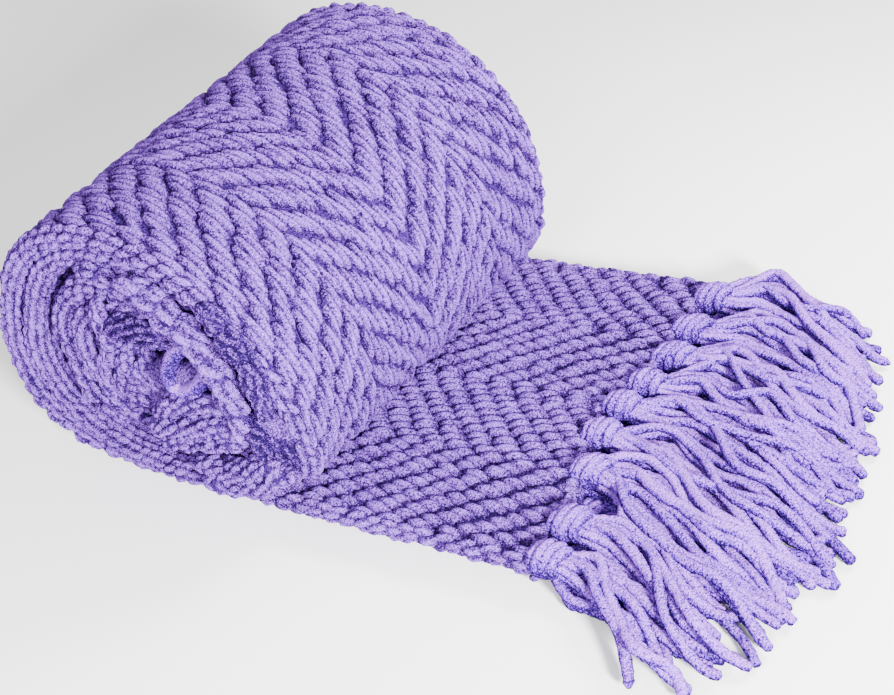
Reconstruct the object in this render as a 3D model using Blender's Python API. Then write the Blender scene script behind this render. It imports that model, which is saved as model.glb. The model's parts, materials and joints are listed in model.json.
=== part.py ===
"""A chunky chenille throw, folded into a long band and rolled up from one end.

The other end is left out flat on the floor and carries the tassels. Metres, +Z up.
+X runs along the flat end towards the tassels, +Y along the roll from its near end to its far end.
"""
import math

import bmesh
import bpy
import numpy as np
from mathutils import Matrix, Vector

# The folded band
BAND_THICKNESS = 0.032
FLAT_THICKNESS = 0.025
EDGE_THICKNESS = 0.023
CORE_THICKNESS = 0.025
WIDTH_STEPS = 12
TURNS = 2.42

# Raised chevron ribs
RIB_PITCH = 0.0248
RIB_HEIGHT = 0.0025
CHEVRON_DEPTH = 0.079
PLAIN_STEP = 0.020

# Outside of the roll at its two ends: the floor point under its axis, half width and half height
ROLL_ENDS = {
    "near": {"x": -0.1835, "y": -0.0128, "half_width": 0.1385, "half_height": 0.1180},
    "far": {"x": -0.1590, "y": 0.3050, "half_width": 0.1395, "half_height": 0.1255},
}
ROLL_YAW = math.radians(-4.4)
LOWER_SQUARENESS = 2.5
UPPER_SQUARENESS = 2.05
NEAR_SAG = 0.012
NEAR_SAG_TURN = 0.31
NEAR_SAG_SPREAD = 0.09

# How much the roll's round underside is pressed flat against the floor
FLAT_SPOT = 0.003

# Outer corners of the flat end where the tassels hang, and how far that end bows back between them
TIP_NEAR = (0.1030, 0.0010)
TIP_FAR = (0.1030, 0.3270)
TIP_BOW = 0.018
TIP_BOW_AT = 0.43
TIP_BOW_SPREAD = 0.16

# How far each turn lies inside the outline of the roll
INSET = {
    "turn": (0.00, 0.60, 0.80, 0.86, 0.90, 0.95, 1.00, 1.12, 1.25, 1.50, 1.75, 1.90, 2.00, 2.12, 2.25, 2.50),
    "inset": (0.0, 0.0, 0.0, 0.004, 0.014, 0.030, 0.040, 0.049, 0.056, 0.041, 0.044, 0.062, 0.078, 0.085,
              0.090, 0.082),
}

# How far the folds lie back from the roll's end planes; turns below 0 are the flat end, -1 at the tassels
NEAR_EDGE = {
    "turn": (-1.0, -0.4, 0.0, 0.15, 0.25, 0.40, 0.50, 0.62, 0.70, 0.80, 0.87, 0.93, 1.00, 1.10, 1.25, 1.50,
             1.75, 2.00, 2.20, 2.45),
    "outer": (0.014, 0.012, 0.008, -0.008, -0.014, -0.006, 0.0, 0.0, 0.002, 0.012, 0.026, 0.034, 0.030, 0.0,
              0.0, 0.0, -0.004, 0.004, 0.012, 0.022),
    "inner": (0.0, 0.0, 0.0, -0.004, -0.008, 0.0, 0.004, 0.012, 0.038, 0.058, 0.060, 0.046, 0.032, 0.010,
              0.002, 0.004, 0.006, 0.008, 0.016, 0.026),
}
FAR_EDGE = {
    "turn": (-1.0, -0.3, 0.0, 0.25, 0.50, 0.75, 1.00, 1.25, 1.50, 1.75, 2.00, 2.45),
    "outer": (0.010, 0.006, 0.0, -0.002, 0.0, 0.001, 0.006, 0.004, 0.0, 0.003, 0.008, 0.016),
    "inner": (0.0, 0.0, 0.003, 0.006, 0.005, 0.008, 0.010, 0.006, 0.006, 0.010, 0.014, 0.020),
}

# Tassels of the upper and the lower plies: where each knot sits across the flat end, and its half width
TOP_KNOTS = {
    "y": (0.011, 0.044, 0.094, 0.130, 0.162, 0.190, 0.225, 0.260, 0.303),
    "half_width": (0.0130, 0.0135, 0.0135, 0.0125, 0.0120, 0.0120, 0.0135, 0.0135, 0.0135),
}
LOWER_KNOTS = {
    "y": (0.026, 0.068, 0.108, 0.147, 0.187, 0.227, 0.266, 0.302),
    "half_width": (0.0125, 0.0130, 0.0130, 0.0125, 0.0125, 0.0125, 0.0130, 0.0130),
}
TOP_KNOT = {"depth": 0.0120, "height": 0.0082, "z": 0.0200, "layers": 2, "first": 1}
LOWER_KNOT = {"depth": 0.0105, "height": 0.0055, "z": 0.0058, "layers": 1, "first": 0}
KNOT_GAP = 0.0003
KNOT_RINGS = 5
KNOT_SIDES = 10

# Strands: one layer of each tassel holds four, side by side in lanes that sweep towards the near side
STRANDS_PER_LAYER = 4
YARN = 0.0070
ROOT_YARN = 0.0036
ROOT_SPACING = 0.0042
ROOT_LAYER_STEP = 0.0042
ROOT_PLACE = 0.35
LAYER_STEP = 0.0082
STRAND_STEPS = 6
GATHERED_RUN = 0.055
FRINGE_SIDES = {
    "x": (0.100, 0.118, 0.142, 0.170, 0.190, 0.210, 0.235, 0.290),
    "near": (0.002, 0.000, -0.007, -0.021, -0.032, -0.041, -0.050, -0.062),
    "far": (0.322, 0.330, 0.342, 0.334, 0.325, 0.314, 0.299, 0.266),
}
REACH = {
    "lane": (0.00, 0.06, 0.12, 0.20, 0.33, 0.43, 0.57, 0.72, 0.90, 1.00),
    "x": (0.206, 0.222, 0.236, 0.256, 0.266, 0.276, 0.268, 0.263, 0.251, 0.254),
}
SHORTER = (0.0, 0.016, 0.006, 0.022, 0.010)
WAVE = 0.0025
WAVE_LENGTH = 0.085
WAVE_SHIFT = 1.3

LAVENDER = (0.455, 0.352, 0.800, 1.0)
PALE_LAVENDER = (0.520, 0.420, 0.850, 1.0)


def smooth_table(table, column, at):
    """A smooth curve through a table's column, read at one place."""
    xs, ys = table["turn"], table[column]
    at = min(max(at, xs[0]), xs[-1])
    k = max(0, min(len(xs) - 2, int(np.searchsorted(xs, at, side="right")) - 1))
    slopes = []
    for i in (k, k + 1):
        lo, hi = max(i - 1, 0), min(i + 1, len(xs) - 1)
        slopes.append((ys[hi] - ys[lo]) / (xs[hi] - xs[lo]))
    span = xs[k + 1] - xs[k]
    t = (at - xs[k]) / span
    blend = t * t * (3 - 2 * t)
    rise = span * t * (1 - t)
    return ys[k] + (ys[k + 1] - ys[k]) * blend + rise * ((1 - t) * slopes[0] - t * slopes[1])


def ramp(x, start, end):
    """0 before start, 1 after end, smooth between."""
    t = min(max((x - start) / (end - start), 0.0), 1.0)
    return t * t * (3 - 2 * t)


def thickness(turn):
    """Thickness of the folded band at a turn."""
    if turn < 0:
        flat = EDGE_THICKNESS + (FLAT_THICKNESS - EDGE_THICKNESS) * ramp(turn, -1.0, -0.92)
        return flat + (BAND_THICKNESS - FLAT_THICKNESS) * ramp(turn, -0.55, 0.0)
    return BAND_THICKNESS + (CORE_THICKNESS - BAND_THICKNESS) * ramp(turn, 1.6, 2.2)


def rounded(value, squareness):
    """A cosine or sine flattened into a squarer shape."""
    return math.copysign(abs(value) ** (2.0 / squareness), value)


def roll_point(end, turn, height):
    """Point of the band on one of the roll's end planes; height is measured inwards from its outer face."""
    size = ROLL_ENDS[end]
    angle = 2 * math.pi * turn
    squareness = LOWER_SQUARENESS if math.cos(angle) > 0 else UPPER_SQUARENESS
    inwards = smooth_table(INSET, "inset", turn) + height
    if end == "near":
        part = turn % 1.0 - NEAR_SAG_TURN
        inwards += NEAR_SAG * math.exp(-((part / NEAR_SAG_SPREAD) ** 2)) * (1 - ramp(turn, 0.8, 1.2))
    across = -(size["half_width"] - inwards) * rounded(math.sin(angle), squareness)
    up = size["half_height"] - (size["half_height"] - inwards) * rounded(math.cos(angle), squareness)
    if turn < 0.5:
        up = max(up - FLAT_SPOT * (1 - ramp(turn, 0.25, 0.5)), height)
    return Vector((size["x"] + across * math.cos(ROLL_YAW), size["y"] + across * math.sin(ROLL_YAW), up))


def flat_point(end, turn, height):
    """Point of the flat end, between the tassels at turn -1 and the foot of the roll at turn 0."""
    foot = roll_point(end, 0.0, height)
    tip = TIP_NEAR if end == "near" else TIP_FAR
    tip = Vector((tip[0], tip[1], height))
    return tip.lerp(Vector((foot.x, foot.y, height)), 1 + turn)


def end_point(end, turn, height):
    """Point of the band on its near or far side."""
    return flat_point(end, turn, height) if turn < 0 else roll_point(end, turn, height)


def band_point(turn, across, height):
    """Point of the band; across is metres from its near side, height metres from its outer face."""
    near = end_point("near", turn, height)
    far = end_point("far", turn, height)
    share = across / (far - near).length
    point = near.lerp(far, share)
    if turn < 0:
        bow = math.exp(-(((share - TIP_BOW_AT) / TIP_BOW_SPREAD) ** 2))
        point.x -= TIP_BOW * bow * (1 - ramp(turn, -1.0, -0.7))
    return point


def lengths_along_band():
    """Turns, and the length of band from the tassels to each of them, read halfway across."""
    turns = np.concatenate([np.linspace(-1, 0, 60, endpoint=False), np.linspace(0, TURNS, 900)])
    width = (end_point("far", 0, 0) - end_point("near", 0, 0)).length
    line = [np.array(band_point(t, width / 2, thickness(t) / 2)) for t in turns]
    steps = [float(np.linalg.norm(b - a)) for a, b in zip(line, line[1:])]
    return turns, np.concatenate([[0.0], np.cumsum(steps)])


TURN_LIST, LENGTH_LIST = lengths_along_band()
BAND_LENGTH = float(LENGTH_LIST[-1])


def turn_at(length):
    """Turn at a length of band from the tassels."""
    return float(np.interp(length, LENGTH_LIST, TURN_LIST))


def chevron(share):
    """Where a rib lies along the band at a share of the width: four zigzag legs."""
    leg = abs((share * 2) % 1.0 - 0.5) * 2
    return -CHEVRON_DEPTH * (1 - leg)


def rib_shows(turn, face):
    """1 where the ribs of a face can be seen, 0 where it lies on the floor or on another turn."""
    if face == "outer":
        return ramp(turn, 0.06, 0.12) * (1 - ramp(turn, 0.84, 0.88))
    return ramp(turn, -0.97, -0.93) * (1 - ramp(turn, -0.40, -0.30))


def station_lengths():
    """Rows of points along the band: two for each rib where ribs show, fewer inside the roll.

    Returns each row's length and 1 for a crest, -1 for a valley, 0 for neither."""
    half_pitch = RIB_PITCH / 2
    ribbed_to = float(np.interp(0.95, TURN_LIST, LENGTH_LIST)) + CHEVRON_DEPTH
    count = int(ribbed_to / half_pitch)
    rows = [(k * half_pitch, 1 if k % 2 else -1) for k in range(count)]
    while rows[-1][0] < BAND_LENGTH + CHEVRON_DEPTH:
        rows.append((rows[-1][0] + PLAIN_STEP, 0))
    return rows


def edge_profile(turn, outer_back, inner_back):
    """The two rounded folds of one side and the groove between them: (distance in, height) pairs, outer first."""
    radius = thickness(turn) / 4
    rounding = ((0.134, 0.5), (0.134, 1.5))
    points = [(outer_back + radius * i, radius * h) for i, h in rounding]
    points.append((max(outer_back, inner_back) + radius, radius * 2))
    points += [(inner_back + radius * i, radius * (h + 2)) for i, h in rounding]
    return points


def band_ring(length, crest):
    """One closed row of points around the band, and the faces' share of it."""
    width = (end_point("far", 0, 0) - end_point("near", 0, 0)).length
    side_turn = turn_at(min(max(length, 0.0), BAND_LENGTH))
    near_edge = edge_profile(side_turn, smooth_table(NEAR_EDGE, "outer", side_turn),
                             smooth_table(NEAR_EDGE, "inner", side_turn))
    far_edge = edge_profile(side_turn, smooth_table(FAR_EDGE, "outer", side_turn),
                            smooth_table(FAR_EDGE, "inner", side_turn))

    def face(which):
        row = []
        for j in range(WIDTH_STEPS + 1):
            share = j / WIDTH_STEPS
            own = min(max(length + chevron(share), 0.0), BAND_LENGTH)
            turn = turn_at(own)
            radius = thickness(turn) / 4
            start = smooth_table(NEAR_EDGE, which, turn) + radius
            end = width - smooth_table(FAR_EDGE, which, turn) - radius
            at_side = j in (0, WIDTH_STEPS)
            lift = 0.0 if at_side or own in (0.0, BAND_LENGTH) else RIB_HEIGHT * crest * rib_shows(turn, which)
            height = -lift if which == "outer" else thickness(turn) + lift
            row.append(band_point(turn, start + (end - start) * share, height))
        return row

    ring = face("outer")
    ring += [band_point(side_turn, width - d, h) for d, h in far_edge]
    ring += face("inner")[::-1]
    ring += [band_point(side_turn, d, h) for d, h in near_edge[::-1]]
    return ring


def finish_mesh(name, bm, material):
    """A named object from a finished bmesh."""
    bmesh.ops.recalc_face_normals(bm, faces=bm.faces)
    mesh = bpy.data.meshes.new(name)
    bm.to_mesh(mesh)
    bm.free()
    mesh.materials.append(material)
    mesh.shade_smooth()
    mesh.set_sharp_from_angle(angle=math.radians(60))
    obj = bpy.data.objects.new(name, mesh)
    bpy.context.scene.collection.objects.link(obj)
    return obj


def cap_faces(verts, flip):
    """Faces that close one end of the band between its outer and inner faces."""
    steps = WIDTH_STEPS
    edge = 5
    outer = verts[:steps + 1]
    far = verts[steps + 1:steps + 1 + edge]
    inner = verts[steps + 1 + edge:2 * steps + 2 + edge][::-1]
    near = verts[2 * steps + 2 + edge:][::-1]
    loops = [[outer[j], outer[j + 1], inner[j + 1], inner[j]] for j in range(steps)]
    loops.append([outer[-1]] + far + [inner[-1]])
    loops.append([inner[0]] + near[::-1] + [outer[0]])
    return [loop[::-1] for loop in loops] if flip else loops


def make_blanket(material):
    """The folded band as one solid: flat end, outer wrap with raised ribs, and the inner turns."""
    bm = bmesh.new()
    rows = [[bm.verts.new(p) for p in band_ring(length, crest)] for length, crest in station_lengths()]
    count = len(rows[0])
    for a, b in zip(rows, rows[1:]):
        for i in range(count):
            j = (i + 1) % count
            bm.faces.new((a[i], a[j], b[j], b[i]))
    for loop in cap_faces(rows[0], True) + cap_faces(rows[-1], False):
        bm.faces.new(loop)
    bmesh.ops.remove_doubles(bm, verts=bm.verts, dist=0.00002)
    bmesh.ops.dissolve_degenerate(bm, dist=0.00002, edges=bm.edges)
    bmesh.ops.triangulate(bm, faces=bm.faces)
    return finish_mesh("blanket", bm, material)


def tip_x(y):
    """How far the edge of the flat end reaches at a place across it."""
    width = (end_point("far", -1, 0) - end_point("near", -1, 0)).length
    radius = thickness(-1) / 4
    reach = []
    for which in ("outer", "inner"):
        start = smooth_table(NEAR_EDGE, which, -1) + radius
        end = width - smooth_table(FAR_EDGE, which, -1) - radius
        corners = [band_point(-1, start + (end - start) * j / WIDTH_STEPS, 0) for j in range(WIDTH_STEPS + 1)]
        reach.append(np.interp(y, [c.y for c in corners], [c.x for c in corners]))
    return float(max(reach))


def knot_x(y, half_width, depth):
    """Where a knot's centre lies, so that its back just clears the edge of the flat end."""
    polar = np.pi * np.arange(KNOT_RINGS // 2 + 1) / KNOT_RINGS
    side = half_width * np.sin(polar) * math.cos(math.pi / KNOT_SIDES)
    back = depth * np.cos(polar)
    places = np.linspace(-side[-1], side[-1], 41)
    return max(tip_x(y + d) + float(np.interp(abs(d), side, back)) for d in places) + KNOT_GAP


def add_knot(bm, centre, half_width, knot):
    """A knot: a squashed ball, its poles along the floor towards the tassel's ends."""
    rings = []
    for r in range(1, KNOT_RINGS):
        polar = math.pi * r / KNOT_RINGS
        ring = []
        for k in range(KNOT_SIDES):
            around = 2 * math.pi * (k + 0.5) / KNOT_SIDES
            ring.append(bm.verts.new((
                centre[0] - knot["depth"] * math.cos(polar),
                centre[1] + half_width * math.sin(polar) * math.cos(around),
                centre[2] + knot["height"] * math.sin(polar) * math.sin(around),
            )))
        rings.append(ring)
    back = bm.verts.new((centre[0] - knot["depth"], centre[1], centre[2]))
    front = bm.verts.new((centre[0] + knot["depth"], centre[1], centre[2]))
    for k in range(KNOT_SIDES):
        n = (k + 1) % KNOT_SIDES
        bm.faces.new((back, rings[0][n], rings[0][k]))
        bm.faces.new((front, rings[-1][k], rings[-1][n]))
        for a, b in zip(rings, rings[1:]):
            bm.faces.new((a[k], a[n], b[n], b[k]))


def lane_y(lane, x):
    """Where a lane of strands lies at a distance x; lane 0 is the near side of the fringe, 1 the far side."""
    near = float(np.interp(x, FRINGE_SIDES["x"], FRINGE_SIDES["near"]))
    far = float(np.interp(x, FRINGE_SIDES["x"], FRINGE_SIDES["far"]))
    sway = WAVE * math.sin(2 * math.pi * (x / WAVE_LENGTH + WAVE_SHIFT * lane))
    return near + (far - near) * lane + sway


def strand_line(root, lane, floor, tip):
    """Points on the middle of a strand's underside, from inside the knot to its tip."""
    points = []
    for k in range(STRAND_STEPS + 1):
        x = root[0] + (tip - root[0]) * k / STRAND_STEPS
        free = ramp(x, root[0], root[0] + GATHERED_RUN)
        y = root[1] + (lane_y(lane, x) - root[1]) * free
        points.append(Vector((x, y, root[2] + (floor - root[2]) * free)))
    return points


def add_strand(bm, line):
    """A three-sided strand lying flat side down along a line, thin at its root."""
    rings = []
    for k, point in enumerate(line):
        ahead = line[min(k + 1, len(line) - 1)] - line[max(k - 1, 0)]
        side = Vector((-ahead.y, ahead.x, 0)).normalized()
        full = ramp(point.x, line[0].x, line[0].x + GATHERED_RUN)
        wide = (ROOT_YARN + (YARN - ROOT_YARN) * full) / 2
        corners = (point - side * wide, point + side * wide, point + Vector((0, 0, wide * math.sqrt(3))))
        rings.append([bm.verts.new(c) for c in corners])
    for a, b in zip(rings, rings[1:]):
        for i in range(3):
            j = (i + 1) % 3
            bm.faces.new((a[i], b[i], b[j], a[j]))
    bm.faces.new(rings[0])
    bm.faces.new(rings[-1][::-1])


def make_tassel(name, place, count, y, half_width, knot, material):
    """One tassel of a row: a knot with its layers of strands fused into it."""
    centre = (knot_x(y, half_width, knot["depth"]), y, knot["z"])
    bm = bmesh.new()
    add_knot(bm, centre, half_width, knot)
    head = finish_mesh(name, bm, material)
    strands = bmesh.new()
    for layer in range(knot["layers"]):
        lift = (layer - (knot["layers"] - 1) / 2) * ROOT_LAYER_STEP
        for n in range(STRANDS_PER_LAYER):
            lane = (place * STRANDS_PER_LAYER + n + 0.5) / (count * STRANDS_PER_LAYER)
            root = (
                centre[0] + knot["depth"] * ROOT_PLACE,
                y + (n - (STRANDS_PER_LAYER - 1) / 2) * ROOT_SPACING,
                centre[2] - ROOT_YARN / 2 + lift,
            )
            reach = float(np.interp(lane, REACH["lane"], REACH["x"]))
            tip = reach - SHORTER[(place * 3 + n * 2 + layer) % len(SHORTER)]
            floor = (knot["first"] + layer) * LAYER_STEP
            add_strand(strands, strand_line(root, lane, floor, tip))
    bmesh.ops.recalc_face_normals(strands, faces=strands.faces)
    mesh = bpy.data.meshes.new(name + "_strands")
    strands.to_mesh(mesh)
    strands.free()
    fused = bpy.data.objects.new(name + "_strands", mesh)
    fused.hide_render = True
    fused.display_type = "WIRE"
    bpy.context.scene.collection.objects.link(fused)
    union = head.modifiers.new("Strands", "BOOLEAN")
    union.operation = "UNION"
    union.object = fused


def make_material(name, colour, rough):
    """A plain Principled material."""
    material = bpy.data.materials.new(name)
    material.use_nodes = True
    shader = material.node_tree.nodes["Principled BSDF"]
    shader.inputs["Base Color"].default_value = colour
    shader.inputs["Roughness"].default_value = rough
    shader.inputs["Metallic"].default_value = 0.0
    return material


def main():
    for obj in list(bpy.data.objects):
        bpy.data.objects.remove(obj, do_unlink=True)
    cloth = make_material("lavender chenille", LAVENDER, 0.9)
    make_blanket(cloth)
    for prefix, table, knot in (("tassel_top", TOP_KNOTS, TOP_KNOT), ("tassel_under", LOWER_KNOTS, LOWER_KNOT)):
        count = len(table["y"])
        for place, (y, half_width) in enumerate(zip(table["y"], table["half_width"])):
            name = f"{prefix}_{place + 1:02d}"
            yarn = make_material(name, PALE_LAVENDER, 0.9)
            make_tassel(name, place, count, y, half_width, knot, yarn)
    corners = np.array([vertex.co for obj in bpy.data.objects for vertex in obj.data.vertices])
    low, high = corners.min(axis=0), corners.max(axis=0)
    centre = Vector(((low[0] + high[0]) / 2, (low[1] + high[1]) / 2, low[2]))
    for obj in bpy.data.objects:
        obj.data.transform(Matrix.Translation(-centre))
        obj.data.update()


main()
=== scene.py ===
"""Looks of the rolled chenille throw: folded cloth, knitted stitches, tassels, camera and light. Metres."""
import json
import math

import bpy
import numpy as np
from mathutils import Matrix, Vector

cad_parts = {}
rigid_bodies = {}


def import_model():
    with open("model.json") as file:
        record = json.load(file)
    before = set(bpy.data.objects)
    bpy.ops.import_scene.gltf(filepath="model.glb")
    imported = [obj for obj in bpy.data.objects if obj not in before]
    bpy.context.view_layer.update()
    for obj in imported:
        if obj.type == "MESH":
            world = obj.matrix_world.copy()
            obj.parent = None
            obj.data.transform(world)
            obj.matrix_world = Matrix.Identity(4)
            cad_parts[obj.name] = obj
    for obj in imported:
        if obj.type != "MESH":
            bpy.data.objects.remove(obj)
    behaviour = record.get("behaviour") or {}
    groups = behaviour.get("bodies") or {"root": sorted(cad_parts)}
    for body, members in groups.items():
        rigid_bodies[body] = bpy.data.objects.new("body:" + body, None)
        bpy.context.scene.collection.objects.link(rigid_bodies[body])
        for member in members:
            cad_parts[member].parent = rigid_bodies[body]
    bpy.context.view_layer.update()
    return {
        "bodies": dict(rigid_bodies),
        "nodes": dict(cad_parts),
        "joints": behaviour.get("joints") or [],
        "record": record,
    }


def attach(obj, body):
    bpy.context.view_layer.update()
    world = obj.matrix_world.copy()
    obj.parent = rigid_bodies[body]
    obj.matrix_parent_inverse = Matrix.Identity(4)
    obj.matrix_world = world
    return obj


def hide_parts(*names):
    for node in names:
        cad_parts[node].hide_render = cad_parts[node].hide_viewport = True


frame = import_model()

# The throw's working frame: its origin is the near corner of the flat end, CENTRE is where the frame's origin lies
CENTRE = np.array((-0.01944, 0.14780, 0.0))

# The folded band, as the solids have it
BAND_THICKNESS = 0.032
FLAT_THICKNESS = 0.025
EDGE_THICKNESS = 0.023
CORE_THICKNESS = 0.025
TURNS = 2.42
RIB_PITCH = 0.0248
CHEVRON_DEPTH = 0.079
ROLL_ENDS = {
    "near": {"x": -0.1835, "y": -0.0128, "half_width": 0.1385, "half_height": 0.1180},
    "far": {"x": -0.1590, "y": 0.3050, "half_width": 0.1395, "half_height": 0.1255},
}
ROLL_YAW = math.radians(-4.4)
LOWER_SQUARENESS = 2.5
UPPER_SQUARENESS = 2.05
NEAR_SAG = 0.012
NEAR_SAG_TURN = 0.31
NEAR_SAG_SPREAD = 0.09
FLAT_SPOT = 0.003
TIP_NEAR = (0.1030, 0.0010)
TIP_FAR = (0.1030, 0.3270)
TIP_BOW = 0.018
TIP_BOW_AT = 0.43
TIP_BOW_SPREAD = 0.16
INSET = {
    "turn": (0.00, 0.60, 0.80, 0.86, 0.90, 0.95, 1.00, 1.12, 1.25, 1.50, 1.75, 1.90, 2.00, 2.12, 2.25, 2.50),
    "inset": (0.0, 0.0, 0.0, 0.004, 0.014, 0.030, 0.040, 0.049, 0.056, 0.041, 0.044, 0.062, 0.078, 0.085,
              0.090, 0.082),
}
NEAR_EDGE = {
    "turn": (-1.0, -0.4, 0.0, 0.15, 0.25, 0.40, 0.50, 0.62, 0.70, 0.80, 0.87, 0.93, 1.00, 1.10, 1.25, 1.50,
             1.75, 2.00, 2.20, 2.45),
    "outer": (0.014, 0.012, 0.008, -0.008, -0.014, -0.006, 0.0, 0.0, 0.002, 0.012, 0.026, 0.034, 0.030, 0.0,
              0.0, 0.0, -0.004, 0.004, 0.012, 0.022),
    "inner": (0.0, 0.0, 0.0, -0.004, -0.008, 0.0, 0.004, 0.012, 0.038, 0.058, 0.060, 0.046, 0.032, 0.010,
              0.002, 0.004, 0.006, 0.008, 0.016, 0.026),
}
FAR_EDGE = {
    "turn": (-1.0, -0.3, 0.0, 0.25, 0.50, 0.75, 1.00, 1.25, 1.50, 1.75, 2.00, 2.45),
    "outer": (0.010, 0.006, 0.0, -0.002, 0.0, 0.001, 0.006, 0.004, 0.0, 0.003, 0.008, 0.016),
    "inner": (0.0, 0.0, 0.003, 0.006, 0.005, 0.008, 0.010, 0.006, 0.006, 0.010, 0.014, 0.020),
}

# Stitches: plump grains of chenille lying along the band, a quarter of a rib further on in each row
FACE_ROWS = 50
FOLD_ROWS = 4
STITCH = {"length": 0.0300, "width": 0.0067, "height": 0.0094}
SHORT_STITCH = 0.50
FLAT_PITCH = 0.0208
# The flat end's stitches are darkened to 0.80 of their tone as painted shade.
FLAT_STITCH = {"long": 0.84, "wide": 1.20, "high": 1.20, "tint": 0.80}
STITCH_SIDES = 8
STITCH_RINGS = 8
ROLL_KINDS = 6
FLAT_KINDS = 4
GRAIN_STYLES = {
    "roll": {"dip": 0.30, "blunt": 0.60, "side_from": 0.42, "side_shade": 1.00, "end_shade": 0.45, "end_from": 0.70},
    "flat": {"dip": 0.84, "blunt": 0.62, "side_from": 0.55, "side_shade": 0.38, "end_shade": 0.72, "end_from": 0.20},
}
LUMPS = 0.10
STITCH_SINK = 0.0024
FLOOR_SINK = 0.0056
SIGHT_DEPTH = {"between_turns": 0.036, "core": 0.085}
STITCH_TILT = math.radians(7)
PLY = 0.008

# Crumpled folds of cloth in the mouth of the roll, at the picture's pixels, and how far in they lie
# Painted light: the flaps in shade carry values below 0, darkening their stitches as painted shade; the lit strip of
# the second turn's edge carries 1.15 as painted light.
CRUMPLES = (
    {"x": (84, 96, 108, 122), "y": (270, 272, 279, 290), "inside": 0.002, "girth": 0.0085},
    {"x": (99, 100, 106, 108), "y": (304, 318, 331, 343), "inside": 0.000, "girth": 0.0068},
    {"x": (116, 108, 106, 113, 130, 150), "y": (340, 356, 374, 394, 410, 420), "inside": 0.008, "girth": 0.0062},
    {"x": (134, 126, 123, 131, 147), "y": (340, 358, 376, 393, 405), "inside": 0.012, "girth": 0.0060},
    {"x": (152, 144, 141, 150, 160), "y": (342, 360, 376, 390, 398), "inside": 0.017, "girth": 0.0058},
    {"x": (162, 184, 206, 224), "y": (410, 402, 401, 410), "inside": 0.002, "girth": 0.0085},
    {"x": (160, 182, 207, 230), "y": (426, 424, 425, 430), "inside": -0.002, "girth": 0.0092},
    {"x": (170, 194, 218, 236), "y": (441, 441, 443, 445), "inside": -0.003, "girth": 0.0070},
    {"x": (206, 226, 250, 280), "y": (464, 470, 470, 464), "inside": -0.002, "girth": 0.0095},
    {"x": (214, 236, 262, 294), "y": (482, 487, 482, 474), "inside": -0.004, "girth": 0.0078},
    {"x": (130, 154, 180, 204, 224, 238, 241), "y": (287, 309, 332, 355, 382, 411, 436), "inside": -0.004,
     "girth": 0.0074, "plump": 1.35, "tint": 1.15},
    {"x": (141, 164, 188, 211, 229, 241), "y": (283, 304, 326, 349, 375, 402), "inside": 0.001, "girth": 0.0060,
     "plump": 1.20},
    {"x": (114, 134, 156, 172), "y": (324, 324, 330, 337), "inside": 0.004, "girth": 0.0125, "tint": -0.10},
    {"x": (206, 228, 247, 259, 266), "y": (312, 334, 359, 386, 410), "inside": 0.002, "girth": 0.0092, "tint": -0.15},
    {"x": (250, 262, 276, 286), "y": (420, 430, 444, 462), "inside": 0.006, "girth": 0.0130, "tint": -0.20},
)
HOLLOWS = (
    {"x": (116, 142, 170, 200), "y": (366, 371, 372, 372), "inside": 0.030, "girth": 0.0200},
    {"x": (176, 191, 208), "y": (368, 371, 371), "inside": 0.014, "girth": 0.0125},
    {"x": (270, 276, 283), "y": (404, 418, 434), "inside": 0.012, "girth": 0.0110},
)
HOOK = {"x": (184, 173, 168, 172, 184, 198, 208, 214), "y": (345, 356, 371, 386, 393, 387, 372, 360), "inside": 0.002,
        "girth": 0.0056}
CRUMPLE_PITCH = 0.0105

# Tassels, as the solids have them
TOP_KNOTS = {
    "y": (0.011, 0.044, 0.094, 0.130, 0.162, 0.190, 0.225, 0.260, 0.303),
    "half_width": (0.0130, 0.0135, 0.0135, 0.0125, 0.0120, 0.0120, 0.0135, 0.0135, 0.0135),
}
LOWER_KNOTS = {
    "y": (0.026, 0.068, 0.108, 0.147, 0.187, 0.227, 0.266, 0.302),
    "half_width": (0.0125, 0.0130, 0.0130, 0.0125, 0.0125, 0.0125, 0.0130, 0.0130),
}
TOP_KNOT = {"depth": 0.0120, "height": 0.0125, "z": 0.0215, "layers": 2, "first": 1, "strands": 4, "loose": 3,
            "run": 0.040}
LOWER_KNOT = {"depth": 0.0105, "height": 0.0062, "z": 0.0066, "layers": 1, "first": 0, "strands": 7, "loose": 0,
              "run": 0.022}
KNOT_OVERLAP = 0.0045
FRINGE_SIDES = {
    "x": (0.100, 0.118, 0.142, 0.170, 0.190, 0.210, 0.235, 0.290),
    "near": (0.002, 0.000, -0.007, -0.021, -0.032, -0.041, -0.050, -0.062),
    "far": (0.322, 0.330, 0.342, 0.334, 0.325, 0.314, 0.299, 0.266),
}
REACH = {
    "lane": (0.00, 0.06, 0.12, 0.20, 0.33, 0.43, 0.57, 0.72, 0.90, 1.00),
    "x": (0.206, 0.222, 0.236, 0.256, 0.266, 0.276, 0.268, 0.263, 0.251, 0.254),
}
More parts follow.
